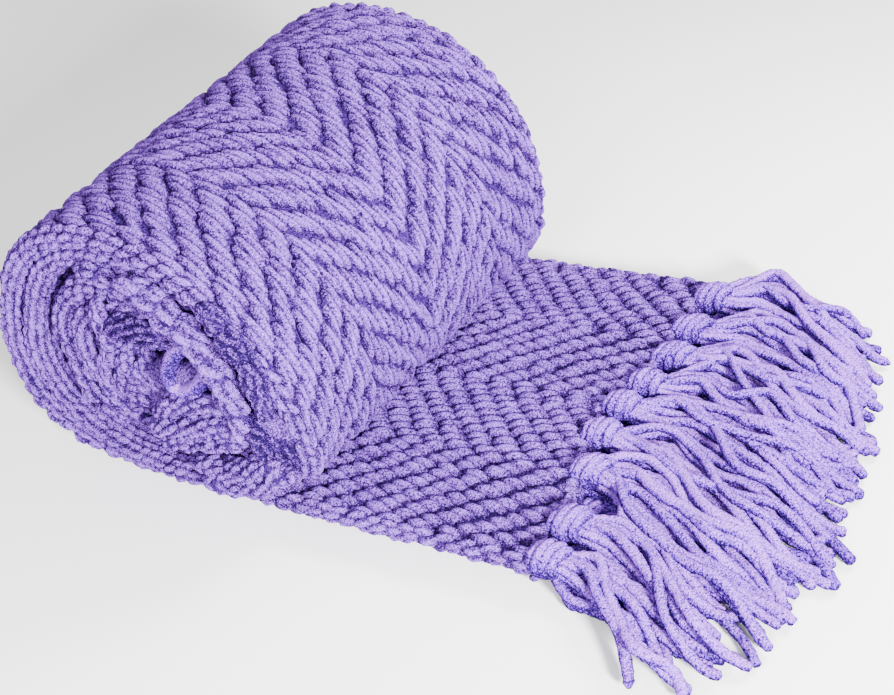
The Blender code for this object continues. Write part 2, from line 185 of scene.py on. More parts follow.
# Painted light: strays of the lower tassels lie low in shade and are darkened to 0.50–0.55 as painted shade; the other
# strays carry painted light and shade from 0.85 to 1.15.
STRAYS = (
    {"of": "tassel_top_03", "x": (598, 625, 650, 671, 684, 682), "y": (462, 456, 459, 476, 500, 518),
     "z": (0.026, 0.020), "tint": 1.15},
    {"of": "tassel_top_03", "x": (598, 614, 625, 621, 634, 658), "y": (470, 482, 500, 517, 533, 548),
     "z": (0.024, 0.018), "tint": 1.10},
    {"of": "tassel_top_09", "x": (722, 745, 775, 797, 801), "y": (290, 282, 277, 290, 308),
     "z": (0.024, 0.016), "tint": 1.00},
    {"of": "tassel_top_09", "x": (800, 835, 858, 874, 890), "y": (306, 325, 342, 358, 364),
     "z": (0.018, 0.0042), "tint": 1.00},
    {"of": "tassel_top_01", "x": (553, 560, 570, 589, 608, 622), "y": (570, 588, 600, 607, 603, 592),
     "z": (0.014, 0.006), "tint": 0.85},
    {"of": "tassel_top_01", "x": (610, 626, 633, 634, 638, 648), "y": (570, 592, 612, 632, 648, 652),
     "z": (0.018, 0.012), "tint": 1.10},
    {"of": "tassel_under_02", "x": (574, 594, 616, 640), "y": (486, 496, 508, 526), "z": (0.008, 0.0042), "tint": 0.50},
    {"of": "tassel_under_01", "x": (552, 578, 602, 626), "y": (540, 546, 557, 572), "z": (0.008, 0.0042), "tint": 0.50},
    {"of": "tassel_under_02", "x": (578, 600, 622, 646), "y": (499, 505, 516, 534), "z": (0.007, 0.0042), "tint": 0.55},
)
YARN_RADIUS = 0.0037
FUZZ = 0.0020
YARN_SIDES = 8
STRAND_POINTS = 56
NEAR_LIMIT = -0.0500
LAYER_HEIGHT = 0.0068

# The photograph's camera, in the throw's working frame
FOCAL_PIXELS = 1300
IMAGE_WIDTH = 894
IMAGE_HEIGHT = 695
CAMERA = {"place": (0.43293, -0.46857, 0.63457), "azimuth": 37.3716, "elevation": 36.7464, "roll": -12.5}

dice = np.random.default_rng(7)
yarn_dice = np.random.default_rng(11)


def smooth_table(table, column, at):
    """A smooth curve through a table's column, read at one place."""
    xs, ys = table["turn"], table[column]
    at = min(max(at, xs[0]), xs[-1])
    k = max(0, min(len(xs) - 2, int(np.searchsorted(xs, at, side="right")) - 1))
    slopes = []
    for i in (k, k + 1):
        lo, hi = max(i - 1, 0), min(i + 1, len(xs) - 1)
        slopes.append((ys[hi] - ys[lo]) / (xs[hi] - xs[lo]))
    span = xs[k + 1] - xs[k]
    t = (at - xs[k]) / span
    blend = t * t * (3 - 2 * t)
    rise = span * t * (1 - t)
    return ys[k] + (ys[k + 1] - ys[k]) * blend + rise * ((1 - t) * slopes[0] - t * slopes[1])


def ramp(x, start, end):
    """0 before start, 1 after end, smooth between."""
    t = min(max((x - start) / (end - start), 0.0), 1.0)
    return t * t * (3 - 2 * t)


def thickness(turn):
    """Thickness of the folded band at a turn."""
    if turn < 0:
        flat = EDGE_THICKNESS + (FLAT_THICKNESS - EDGE_THICKNESS) * ramp(turn, -1.0, -0.92)
        return flat + (BAND_THICKNESS - FLAT_THICKNESS) * ramp(turn, -0.55, 0.0)
    return BAND_THICKNESS + (CORE_THICKNESS - BAND_THICKNESS) * ramp(turn, 1.6, 2.2)


def rounded(value, squareness):
    """A cosine or sine flattened into a squarer shape."""
    return math.copysign(abs(value) ** (2.0 / squareness), value)


def roll_point(end, turn, height):
    """Point of the band on one of the roll's end planes; height is measured inwards from its outer face."""
    size = ROLL_ENDS[end]
    angle = 2 * math.pi * turn
    squareness = LOWER_SQUARENESS if math.cos(angle) > 0 else UPPER_SQUARENESS
    inwards = smooth_table(INSET, "inset", turn) + height
    if end == "near":
        part = turn % 1.0 - NEAR_SAG_TURN
        inwards += NEAR_SAG * math.exp(-((part / NEAR_SAG_SPREAD) ** 2)) * (1 - ramp(turn, 0.8, 1.2))
    across = -(size["half_width"] - inwards) * rounded(math.sin(angle), squareness)
    up = size["half_height"] - (size["half_height"] - inwards) * rounded(math.cos(angle), squareness)
    if turn < 0.5:
        up = max(up - FLAT_SPOT * (1 - ramp(turn, 0.25, 0.5)), height)
    return np.array((size["x"] + across * math.cos(ROLL_YAW), size["y"] + across * math.sin(ROLL_YAW), up))


def end_point(end, turn, height):
    """Point of the band on its near or far side; turns below 0 are the flat end, -1 at the tassels."""
    if turn >= 0:
        return roll_point(end, turn, height)
    foot = roll_point(end, 0.0, height)
    foot[2] = height
    tip = TIP_NEAR if end == "near" else TIP_FAR
    return foot + (np.array((tip[0], tip[1], height)) - foot) * -turn


BAND_WIDTH = float(np.linalg.norm(end_point("far", 0, 0) - end_point("near", 0, 0)))


def band_point(turn, across, height):
    """Point of the band; across is metres from its near side, height metres from its outer face."""
    near = end_point("near", turn, height)
    far = end_point("far", turn, height)
    share = across / np.linalg.norm(far - near)
    point = near + (far - near) * share
    if turn < 0:
        bow = math.exp(-(((share - TIP_BOW_AT) / TIP_BOW_SPREAD) ** 2))
        point[0] -= TIP_BOW * bow * (1 - ramp(turn, -1.0, -0.7))
    return point


TURN_LIST = np.concatenate([np.linspace(-1, 0, 60, endpoint=False), np.linspace(0, TURNS, 900)])
MIDDLE_LINE = np.array([band_point(t, BAND_WIDTH / 2, thickness(t) / 2) for t in TURN_LIST])
LENGTH_LIST = np.concatenate([[0.0], np.cumsum(np.linalg.norm(np.diff(MIDDLE_LINE, axis=0), axis=1))])
BAND_LENGTH = float(LENGTH_LIST[-1])


def turn_at(length):
    """Turn at a length of band from the tassels."""
    return float(np.interp(length, LENGTH_LIST, TURN_LIST))


def chevron(share):
    """Where a rib lies along the band at a share of the width: four zigzag legs."""
    leg = abs((share * 2) % 1.0 - 0.5) * 2
    return -CHEVRON_DEPTH * (1 - leg)


def fold_centres(turn):
    """The two folds of each side: how far in their centres lie, and their radius."""
    radius = thickness(turn) / 4
    near = [smooth_table(NEAR_EDGE, side, turn) + radius for side in ("outer", "inner")]
    far = [BAND_WIDTH - smooth_table(FAR_EDGE, side, turn) - radius for side in ("outer", "inner")]
    return near, far, radius


def row_place(row, turn, lift):
    """Across and height of a row of stitches; lift is how far it stands above the band's surface."""
    near, far, radius = fold_centres(turn)
    kind, number = row
    if kind in ("outer", "inner"):
        side = 0 if kind == "outer" else 1
        share = (number + 0.5) / FACE_ROWS
        across = near[side] + (far[side] - near[side]) * share
        return across, (-lift if kind == "outer" else 4 * radius + lift)
    end, fold = kind.split()
    side = 0 if fold == "a" else 1
    angle = math.pi * (number + 0.5) / FOLD_ROWS
    out = (radius + lift) * math.sin(angle)
    across = near[side] - out if end == "near" else far[side] + out
    return across, radius * (1 + 2 * side) - (radius + lift) * math.cos(angle)


def row_share(row):
    """A row's place in the chevron pattern, as a share of the band's width."""
    kind, number = row
    if kind in ("outer", "inner"):
        return (number + 0.5) / FACE_ROWS
    beyond = (min(number, FOLD_ROWS - 1 - number) + 0.5) / FACE_ROWS
    return -beyond if kind.startswith("near") else 1 + beyond


def is_seen(row, turn, across):
    """Whether a stitch can be seen from anywhere, or lies deep between two turns."""
    kind = row[0]
    depth = SIGHT_DEPTH["core" if kind == "inner" and turn > 1.4 else "between_turns"]
    deep = depth < across < BAND_WIDTH - depth
    if kind == "outer":
        return turn < 0.98 or not deep
    if kind == "inner":
        return turn < -0.28 or not deep
    return True


def sink_at(row, turn):
    """How deep a stitch's middle sits below the band's surface: deeper where it rests on the floor."""
    if row[0] == "outer":
        return FLOOR_SINK + (STITCH_SINK - FLOOR_SINK) * ramp(turn, 0.02, 0.14)
    if row[0] in ("near a", "far a") and row[1] < 2:
        return STITCH_SINK + (FLOOR_SINK - STITCH_SINK) * (1 - ramp(turn, 0.02, 0.14))
    return STITCH_SINK


def surface(row, length, lift):
    """Point of a row of stitches at a length of band."""
    turn = turn_at(length)
    across, height = row_place(row, turn, lift)
    return band_point(turn, across, height)


def unit(vector):
    return vector / np.linalg.norm(vector)


def frame_of(middle, nose, out, size, flat=False):
    """A stitch's place, turn, size, kind and random tone, from its middle, the way it points and the way it faces."""
    nose = unit(nose + out * dice.normal(0, 0.05))
    side = unit(np.cross(out, nose))
    turned = Matrix((nose, side, np.cross(nose, side))).transposed().to_euler()
    size = size * dice.normal(1, 0.05, 3)
    kind = ROLL_KINDS + dice.integers(FLAT_KINDS) if flat else dice.integers(ROLL_KINDS)
    return middle - CENTRE, tuple(turned), size, kind, dice.uniform(0.72, 1.22)


def stitch_on(row, length, long):
    """One stitch of a row at a length of band, this many times its full length."""
    sink = sink_at(row, turn_at(length)) + dice.normal(0, 0.0006)
    middle = surface(row, length, -sink)
    ahead = surface(row, min(length + 0.006, BAND_LENGTH), -sink)
    along = unit(ahead - surface(row, max(length - 0.006, 0), -sink))
    out = surface(row, length, 0.001) - surface(row, length, 0)
    out = unit(out - along * np.dot(out, along))
    lean = STITCH_TILT * math.copysign(1, (row_share(row) * 2) % 1.0 - 0.5) + dice.normal(0, 0.09)
    nose = along * math.cos(lean) + np.cross(out, along) * math.sin(lean)
    # Stitches on the flat end are sized as FLAT_STITCH says and darkened as painted shade.
    if row[0] == "inner" and turn_at(length) < -0.28:
        size = np.array((long * FLAT_STITCH["long"], FLAT_STITCH["wide"], FLAT_STITCH["high"]))
        frame = frame_of(middle, nose, out, size, flat=True)
        return (*frame[:4], frame[4] * FLAT_STITCH["tint"])
    return frame_of(middle, nose, out, np.array((long, 1.0, 1.0)))


def stitch_frames():
    """Place, turn and size of every stitch that can be seen, grouped by the part of the cloth it is on."""
    rows = [(kind, n) for kind in ("outer", "inner") for n in range(FACE_ROWS)]
    rows += [(f"{end} {fold}", n) for end in ("near", "far") for fold in "ab" for n in range(FOLD_ROWS)]
    groups = {"stitches_roll": [], "stitches_flat": [], "stitches_within": [], "stitches_folds": []}
    for row in rows:
        offset = chevron(row_share(row)) + dice.normal(0, 0.0011 if row[0] == "inner" else 0.0020)
        on_fold = row[0] not in ("outer", "inner")
        pitch = FLAT_PITCH if row[0] == "inner" else RIB_PITCH
        first = math.ceil((0.004 - offset) / pitch - 0.5)
        places = [(k + 0.5) * pitch + offset for k in range(first, first + 80)]
        before = places[0] - pitch / 2
        places = [(place, 1.0) for place in places if place < BAND_LENGTH - 0.004]
        if before > 0.003:
            places.append((before / 2, (before + 0.004) / STITCH["length"]))
        for place, long in places:
            turn = turn_at(place)
            across, _ = row_place(row, turn, 0)
            if not is_seen(row, turn, across):
                continue
            within = row[0] == "inner" and turn >= -0.28
            if row[0] == "outer":
                group = "stitches_roll"
            elif row[0] == "inner":
                group = "stitches_within" if within else "stitches_flat"
            else:
                group = "stitches_folds"
            if (on_fold or within) and long == 1.0:
                for part in (-0.25, 0.25):
                    half = place + pitch * part + dice.normal(0, 0.001)
                    groups[group].append(stitch_on(row, min(half, BAND_LENGTH - 0.004), SHORT_STITCH))
            else:
                groups[group].append(stitch_on(row, max(place + dice.normal(0, 0.0010), 0.002), long))
    groups["stitches_edge"] = edge_frames()
    groups["stitches_mouth"] = mouth_frames()
    return groups


def edge_frames():
    """Stitches that close the end of the cloth, where the tassels hang: three rows across it."""
    frames = []
    for height, up in ((0.0062, -0.3), (0.0125, 0.1), (0.0188, 0.7)):
        for step in np.arange(0.010, BAND_WIDTH - 0.008, 0.0135):
            place = step + dice.normal(0, 0.001)
            middle = band_point(-1, place, height)
            side = unit(band_point(-1, place + 0.004, height) - band_point(-1, place - 0.004, height))
            outwards = unit(np.array((side[1], -side[0], up)))
            frames.append(frame_of(middle - outwards * 0.0022, side, outwards, np.array((0.58, 1.0, 0.85))))
    return frames


def camera_axes():
    """The camera's right, up and backwards, in the throw's working frame."""
    azimuth, elevation, roll = (math.radians(CAMERA[k]) for k in ("azimuth", "elevation", "roll"))
    back = np.array((math.sin(azimuth) * math.cos(elevation), -math.cos(azimuth) * math.cos(elevation), math.sin(elevation)))
    right = np.array((math.cos(azimuth), math.sin(azimuth), 0))
    up = np.cross(back, right)
    return right * math.cos(roll) + up * math.sin(roll), up * math.cos(roll) - right * math.sin(roll), back


def sight_line(x, y):
    """The way the camera looks at a pixel."""
    right, up, back = camera_axes()
    return right * (x - IMAGE_WIDTH / 2) + up * (IMAGE_HEIGHT / 2 - y) - back * FOCAL_PIXELS


def level_point(x, y, z):
    """Point that the camera sees at a pixel, at this height over the floor."""
    ray = sight_line(x, y)
    start = np.array(CAMERA["place"])
    return start + ray * ((z - start[2]) / ray[2])


def mouth_point(x, y, inside):
    """Point that the camera sees at a pixel, on the plane of the roll's near end or this far inside it."""
    ray = sight_line(x, y)
    inwards = np.array((-math.sin(ROLL_YAW), math.cos(ROLL_YAW), 0))
    middle = np.array((ROLL_ENDS["near"]["x"], ROLL_ENDS["near"]["y"], 0)) + inwards * inside
    start = np.array(CAMERA["place"])
    return start + ray * (np.dot(middle - start, inwards) / np.dot(ray, inwards))


def even_line(marks, pitch):
    """Even points on the smooth line through some marks."""
    spans = np.concatenate([[0], np.cumsum(np.linalg.norm(np.diff(marks, axis=0), axis=1))])
    fine = np.linspace(0, spans[-1], 60)
    line = np.array([np.interp(fine, spans, marks[:, k]) for k in range(3)]).T
    for _ in range(6):
        line[1:-1] = (line[:-2] + line[1:-1] * 2 + line[2:]) / 4
    count = max(3, round(spans[-1] / pitch))
    return np.array([np.interp(np.linspace(0, spans[-1], count + 1), fine, line[:, k]) for k in range(3)]).T


def mouth_line(fold, pitch):
    """Even points on the line of a fold in the roll's mouth."""
    return even_line(np.array([mouth_point(x, y, fold["inside"]) for x, y in zip(fold["x"], fold["y"])]), pitch)


def stray_line(stray):
    """Middle line and girth of a loose strand that lies over the fringe."""
    heights = np.linspace(*stray["z"], len(stray["x"]))
    line = even_line(np.array([level_point(*mark) for mark in zip(stray["x"], stray["y"], heights)]), 0.003)
    girths = [YARN_RADIUS * (1 + yarn_dice.normal(0, 0.05)) for _ in line]
    girths[-1] = YARN_RADIUS * 0.30
    girths[-2] = YARN_RADIUS * 0.80
    return line, girths


def mouth_frames():
    """Stitches round the crumpled folds in the roll's mouth."""
    frames = []
    outwards = np.array((math.sin(ROLL_YAW), -math.cos(ROLL_YAW), 0))
    for fold in CRUMPLES:
        line = mouth_line(fold, CRUMPLE_PITCH * fold.get("plump", 1.0))
        plump = fold.get("plump", 1.0)
        count = max(5, round(2 * math.pi * fold["girth"] / (0.0070 * plump)))
        for k, point in enumerate(line):
            along = unit(line[min(k + 1, len(line) - 1)] - line[max(k - 1, 0)])
            front = unit(outwards - along * np.dot(outwards, along))
            side = np.cross(along, front)
            end_share = min(k, len(line) - 1 - k) / max(1, len(line) - 1)
            girth = fold["girth"] * (0.72 + 0.28 * min(1, end_share * 4))
            for n in range(count):
                angle = 2 * math.pi * (n + 0.5 * (k % 2) + dice.uniform(-0.15, 0.15)) / count
                out = front * math.cos(angle) + side * math.sin(angle)
                if math.cos(angle) < -0.45:
                    continue
                middle = point + out * (girth - 0.0030 + dice.normal(0, 0.0005)) + along * dice.normal(0, 0.0012)
                nose = unit(along + np.cross(out, along) * dice.normal(0.15, 0.2))
                place, turned, size, kind, tint = frame_of(middle, nose, out, np.array((SHORT_STITCH, 1.08, 1.0)) * 0.92 * plump)
                # Each fold's value carries its painted shade and light over to its stitches.
                frames.append((place, turned, size, kind, tint * fold.get("tint", 1.0)))
    return frames


def grain_shape(number):
    """One kind of stitch: a plump lumpy grain with blunt ends, lying along X, with its painted light kept as an
    attribute: lighter on top, painted shade on its sides and ends.
    """
    verts, faces = [], []
    rings = STITCH_RINGS
    style = GRAIN_STYLES["roll" if number < ROLL_KINDS else "flat"]
    for r in range(1, rings):
        polar = math.pi * r / rings
        girth = math.sin(polar) ** style["blunt"]
        along = -math.cos(polar)
        for k in range(STITCH_SIDES):
            around = 2 * math.pi * k / STITCH_SIDES
            dip = style["dip"] * abs(along) ** 2.3
            bend = 0.16 * math.sin(math.pi * along)
            lump = girth * (1 + dice.uniform(-LUMPS, LUMPS))
            verts.append((
                STITCH["length"] / 2 * (along + dice.uniform(-0.03, 0.03)),
                STITCH["width"] / 2 * (lump * math.cos(around) + bend),
                STITCH["height"] / 2 * (lump * math.sin(around) - dip),
            ))
    verts.append((-STITCH["length"] / 2, 0, -STITCH["height"] * 0.12))
    verts.append((STITCH["length"] / 2, 0, -STITCH["height"] * 0.12))
    back, front = len(verts) - 2, len(verts) - 1
    for k in range(STITCH_SIDES):
        n = (k + 1) % STITCH_SIDES
        faces.append((back, n, k))
        last = (rings - 2) * STITCH_SIDES
        faces.append((front, last + k, last + n))
        for r in range(rings - 2):
            a, b = r * STITCH_SIDES, (r + 1) * STITCH_SIDES
            faces.append((a + k, a + n, b + n, b + k))
    mesh = bpy.data.meshes.new(f"stitch_grain_{number}")
    mesh.from_pydata(verts, [], faces)
    mesh.shade_smooth()
    # Painted light: the stored value is lighter towards the grain's top and darker on its sides and at its ends, as
    # painted shade where grains meet.
    crest = mesh.attributes.new("crest", "FLOAT", "POINT")
    tallest = STITCH["height"] / 2
    ends = [1 - ramp(abs(v[0]) / (STITCH["length"] / 2), style["end_from"], 1.0) for v in verts]
    sides = [1 - style["side_shade"] * ramp(abs(v[1]) / (STITCH["width"] / 2), style["side_from"], 1.05) for v in verts]
    tops = [max(0.0, (v[2] / tallest + 1) / 2) for v in verts]
    crest.data.foreach_set("value", [t * b * (1 - style["end_shade"] * (1 - e)) for t, b, e in zip(tops, sides, ends)])
    return bpy.data.objects.new(f"stitch_grain_{number}", mesh)


class Nodes:
    """A geometry node tree with named inputs, built in a few lines."""

    def __init__(self, name, inputs):
        self.tree = bpy.data.node_groups.new(name, "GeometryNodeTree")
        face = self.tree.interface
        face.new_socket("Geometry", in_out="INPUT", socket_type="NodeSocketGeometry")
        face.new_socket("Geometry", in_out="OUTPUT", socket_type="NodeSocketGeometry")
        for label, kind in inputs.items():
            face.new_socket(label, in_out="INPUT", socket_type=kind)
        self.start = self.tree.nodes.new("NodeGroupInput")
        self.end = self.tree.nodes.new("NodeGroupOutput")

    def add(self, kind, wires=None, **settings):
        node = self.tree.nodes.new(kind)
        for key, value in settings.items():
            setattr(node, key, value)
        for key, value in (wires or {}).items():
            if isinstance(value, bpy.types.NodeSocket):
                self.tree.links.new(value, node.inputs[key])
            else:
                node.inputs[key].default_value = value
        return node

    def finish(self, socket):
        self.tree.links.new(socket, self.end.inputs["Geometry"])

    def apply(self, source, values, name):
        """The tree run on a mesh with these input values, as a plain mesh object."""
        modifier = source.modifiers.new("Make", "NODES")
        modifier.node_group = self.tree
        for item in self.tree.interface.items_tree:
            if item.in_out == "INPUT" and item.name in values:
                modifier[item.identifier] = values[item.name]
        depsgraph = bpy.context.evaluated_depsgraph_get()
        mesh = bpy.data.meshes.new_from_object(source.evaluated_get(depsgraph), depsgraph=depsgraph)
        mesh.name = name
        bpy.data.objects.remove(source, do_unlink=True)
        made = bpy.data.objects.new(name, mesh)
        bpy.context.scene.collection.objects.link(made)
        return made


def point_cloud(name, points, edges=(), **attributes):
    """A mesh of loose points, or of lines, that carries float or vector attributes."""
    mesh = bpy.data.meshes.new(name)
    mesh.from_pydata([tuple(p) for p in points], list(edges), [])
    for key, values in attributes.items():
        values = np.asarray(values, dtype=float)
        vector = values.ndim == 2
        layer = mesh.attributes.new(key, "FLOAT_VECTOR" if vector else "FLOAT", "POINT")
        layer.data.foreach_set("vector" if vector else "value", values.ravel())
    cloud = bpy.data.objects.new(name, mesh)
    bpy.context.scene.collection.objects.link(cloud)
    return cloud


def stitch_tree():
    """Puts a grain of the point's own kind on each point, turned and sized by the point's attributes."""
    nodes = Nodes("stitch_rows", {"Grains": "NodeSocketCollection", "Yarn": "NodeSocketMaterial"})
    grains = nodes.add("GeometryNodeCollectionInfo", {
        "Collection": nodes.start.outputs["Grains"], "Separate Children": True, "Reset Children": True,
    })
    turned = nodes.add("GeometryNodeInputNamedAttribute", {"Name": "turned"}, data_type="FLOAT_VECTOR")
    size = nodes.add("GeometryNodeInputNamedAttribute", {"Name": "size"}, data_type="FLOAT_VECTOR")
    kind = nodes.add("GeometryNodeInputNamedAttribute", {"Name": "kind"}, data_type="FLOAT")
    spin = nodes.add("FunctionNodeEulerToRotation", {"Euler": turned.outputs["Attribute"]})
    placed = nodes.add("GeometryNodeInstanceOnPoints", {
        "Points": nodes.start.outputs["Geometry"],
        "Instance": grains.outputs["Instances"],
        "Pick Instance": True,
        "Instance Index": kind.outputs["Attribute"],
        "Rotation": spin.outputs["Rotation"],
        "Scale": size.outputs["Attribute"],
    })
    real = nodes.add("GeometryNodeRealizeInstances", {"Geometry": placed.outputs["Instances"]})
    dyed = nodes.add("GeometryNodeSetMaterial", {
        "Geometry": real.outputs["Geometry"], "Material": nodes.start.outputs["Yarn"],
    })
    nodes.finish(dyed.outputs["Geometry"])
    return nodes


def yarn_tree():
    """Runs a round yarn along each line, thick as the points' girth attribute says."""
    nodes = Nodes("yarn_runs", {"Sides": "NodeSocketInt", "Yarn": "NodeSocketMaterial"})
    lines = nodes.add("GeometryNodeMeshToCurve", {"Mesh": nodes.start.outputs["Geometry"]})
    circle = nodes.add("GeometryNodeCurvePrimitiveCircle", {
        "Resolution": nodes.start.outputs["Sides"], "Radius": 1.0,
    })
    girth = nodes.add("GeometryNodeInputNamedAttribute", {"Name": "girth"}, data_type="FLOAT")
    tube = nodes.add("GeometryNodeCurveToMesh", {
        "Curve": lines.outputs["Curve"],
        "Profile Curve": circle.outputs["Curve"],
        "Scale": girth.outputs["Attribute"],
        "Fill Caps": True,
    })
    # Painted light: faces turned up are stored lighter and faces turned sideways and down darker, as painted shade,
    # times each point's value.
    facing = nodes.add("ShaderNodeSeparateXYZ", {"Vector": nodes.add("GeometryNodeInputNormal").outputs["Normal"]})
    topness = nodes.add("ShaderNodeMapRange", {
        "Value": facing.outputs["Z"], "From Min": -0.20, "From Max": 0.92, "To Min": 0.0, "To Max": 1.0,
    })
    tint = nodes.add("GeometryNodeInputNamedAttribute", {"Name": "tint"}, data_type="FLOAT")
    shade = nodes.add("ShaderNodeMath", {0: topness.outputs["Result"], 1: tint.outputs["Attribute"]}, operation="MULTIPLY")
    marked = nodes.add("GeometryNodeStoreNamedAttribute", {
        "Geometry": tube.outputs["Mesh"], "Name": "crest", "Value": shade.outputs["Value"],
    }, data_type="FLOAT", domain="POINT")
    fuzz = nodes.add("ShaderNodeTexNoise", {"Scale": 420.0, "Detail": 1.0})
    centred = nodes.add("ShaderNodeVectorMath", {0: fuzz.outputs["Color"], 1: (0.5, 0.5, 0.5)}, operation="SUBTRACT")
    push = nodes.add("ShaderNodeVectorMath", {0: centred.outputs["Vector"], "Scale": FUZZ}, operation="SCALE")
    rough = nodes.add("GeometryNodeSetPosition", {
        "Geometry": marked.outputs["Geometry"], "Offset": push.outputs["Vector"],
    })
    soft = nodes.add("GeometryNodeSetShadeSmooth", {"Geometry": rough.outputs["Geometry"]})
    real = nodes.add("GeometryNodeRealizeInstances", {"Geometry": soft.outputs["Geometry"]})
    dyed = nodes.add("GeometryNodeSetMaterial", {
        "Geometry": real.outputs["Geometry"], "Material": nodes.start.outputs["Yarn"],
    })
    nodes.finish(dyed.outputs["Geometry"])
    return nodes


class Wire:
    """A shader socket that can be added, multiplied and so on."""

    def __init__(self, paint, socket):
        self.paint = paint
        self.socket = socket

    def maths(self, operation, other, swap=False):
        first, second = (other, self) if swap else (self, other)
        return self.paint.node("ShaderNodeMath", {0: first, 1: second}, operation=operation)

    def __add__(self, other):
        return self.maths("ADD", other)

    def __radd__(self, other):
        return self.maths("ADD", other, True)

    def __sub__(self, other):
        return self.maths("SUBTRACT", other)

    def __rsub__(self, other):
        return self.maths("SUBTRACT", other, True)

    def __mul__(self, other):
        return self.maths("MULTIPLY", other)

    def __rmul__(self, other):
        return self.maths("MULTIPLY", other, True)

    def __pow__(self, other):
        return self.maths("POWER", other)


class Paint:
    """A material on one Principled shader."""

    def __init__(self, name):
        self.material = bpy.data.materials.new(name)
        self.material.use_nodes = True
        self.tree = self.material.node_tree
        self.shader = self.tree.nodes["Principled BSDF"]

    def node(self, kind, wires=None, out=0, **settings):
        """Any node, its inputs set by number or name; returns one of its outputs."""
        node = self.tree.nodes.new(kind)
        for key, value in settings.items():
            setattr(node, key, value)
        for key, value in (wires or {}).items():
            if isinstance(value, Wire):
                self.tree.links.new(value.socket, node.inputs[key])
            else:
                node.inputs[key].default_value = value
        return Wire(self, node.outputs[out])

    def feed(self, **inputs):
        """Sets the shader's own sockets, by value or by wire."""
        for key, value in inputs.items():
            socket = self.shader.inputs[key.replace("_", " ")]
            if isinstance(value, Wire):
                self.tree.links.new(value.socket, socket)
            else:
                socket.default_value = value

    def ramp(self, factor, stops):
        """A colour ramp between (place, colour) stops."""
        wire = self.node("ShaderNodeValToRGB", {0: factor})
        marks = wire.socket.node.color_ramp.elements
        while len(marks) < len(stops):
            marks.new(0.5)
        for mark, (place, colour) in zip(marks, stops):
            mark.position = place
            mark.color = (*colour, 1)
        return wire


def chenille(name, low, middle, high, painted_light_share):
    """Short-piled chenille: tufts of pile, dark where they part; painted shade where it dips between stitches and
    painted light on the tops, from a stored attribute.
    """
    paint = Paint(name)
    place = paint.node("ShaderNodeTexCoord", out=3)
    tufts = paint.node("ShaderNodeTexVoronoi", {"Vector": place, "Scale": 640.0})
    clumps = paint.node("ShaderNodeTexNoise", {"Vector": place, "Scale": 600.0, "Detail": 3.0, "Roughness": 0.72})
    pile = paint.node("ShaderNodeTexNoise", {"Vector": place, "Scale": 1500.0, "Detail": 1.0, "Roughness": 0.6})
    drift = paint.node("ShaderNodeTexNoise", {"Vector": place, "Scale": 24.0, "Detail": 1.0})
    crest = paint.node("ShaderNodeAttribute", out=2, attribute_name="crest")
    speckle = (0.47 - tufts) * 0.85 + (clumps - 0.5) * 2.5 + (pile - 0.5) * 1.5
    tint = paint.node("ShaderNodeAttribute", out=2, attribute_name="tint")
    # Painted light: the tone rises with the stored painted light and shifts with each piece's random tone and its
    # painted shade and light.
    tone = crest * painted_light_share + speckle + (drift - 0.5) * 0.22 + (tint - 1) * (0.45 * painted_light_share) + 0.5 * (1 - painted_light_share)
    colour = paint.ramp(tone, ((0.08, low), (0.46, middle), (1.0, high)))
    height = (1 - tufts) * 0.55 + clumps * 1.0 + pile * 0.45
    bump = paint.node("ShaderNodeBump", {"Strength": 1.0, "Distance": 0.0040, "Height": height})
    paint.feed(Base_Color=colour, Normal=bump, Roughness=0.95)
    paint.feed(Sheen_Weight=0.0)
    paint.shader.inputs["Specular IOR Level"].default_value = 0.0
    return paint.material


SHADE = {
    "low": (0.018, 0.007, 0.068),
    "middle": (0.134, 0.048, 0.320),
    "high": (0.335, 0.132, 0.810),
}
KNIT = chenille("knit_chenille", SHADE["low"], SHADE["middle"], SHADE["high"], 0.80)
YARN = chenille("tassel_chenille", SHADE["low"], (0.150, 0.042, 0.600), (0.500, 0.178, 1.000), 0.90)
SHADED = chenille("cloth_in_the_mouth", SHADE["low"], SHADE["middle"], SHADE["high"], 0.0)
# Painted shade: the cloth under the stitches, and the fold bodies in the roll's mouth, are coloured far darker than the
# yarn to stand for the shade in the gaps between stitches.
PAINTED_SHADE_CLOTH = chenille("cloth_in_painted_shade", (0.018, 0.006, 0.072), (0.062, 0.021, 0.195), (0.110, 0.038, 0.300), 0.0)


def make_stitches():
    """All stitches that show, in a few pieces."""
    tree = stitch_tree()
    kinds = bpy.data.collections.new("stitch_kinds")
    for number in range(ROLL_KINDS + FLAT_KINDS):
        kinds.objects.link(grain_shape(number))
    pieces = []
    for name, frames in stitch_frames().items():
        shares = len(frames) * STITCH_SIDES * 2 * (STITCH_RINGS - 1) // 190000 + 1
        for part in range(shares):
            chosen = frames[part * len(frames) // shares:(part + 1) * len(frames) // shares]
            cloud = point_cloud(
                name, [f[0] for f in chosen], turned=[f[1] for f in chosen], size=[f[2] for f in chosen],
                kind=[f[3] for f in chosen], tint=[f[4] for f in chosen],
            )
            label = name if shares == 1 else f"{name}_{part + 1}"
            pieces.append(tree.apply(cloud, {"Grains": kinds, "Yarn": KNIT}, label))
    for shape in list(kinds.objects):
        bpy.data.objects.remove(shape, do_unlink=True)
    bpy.data.collections.remove(kinds)
    return pieces


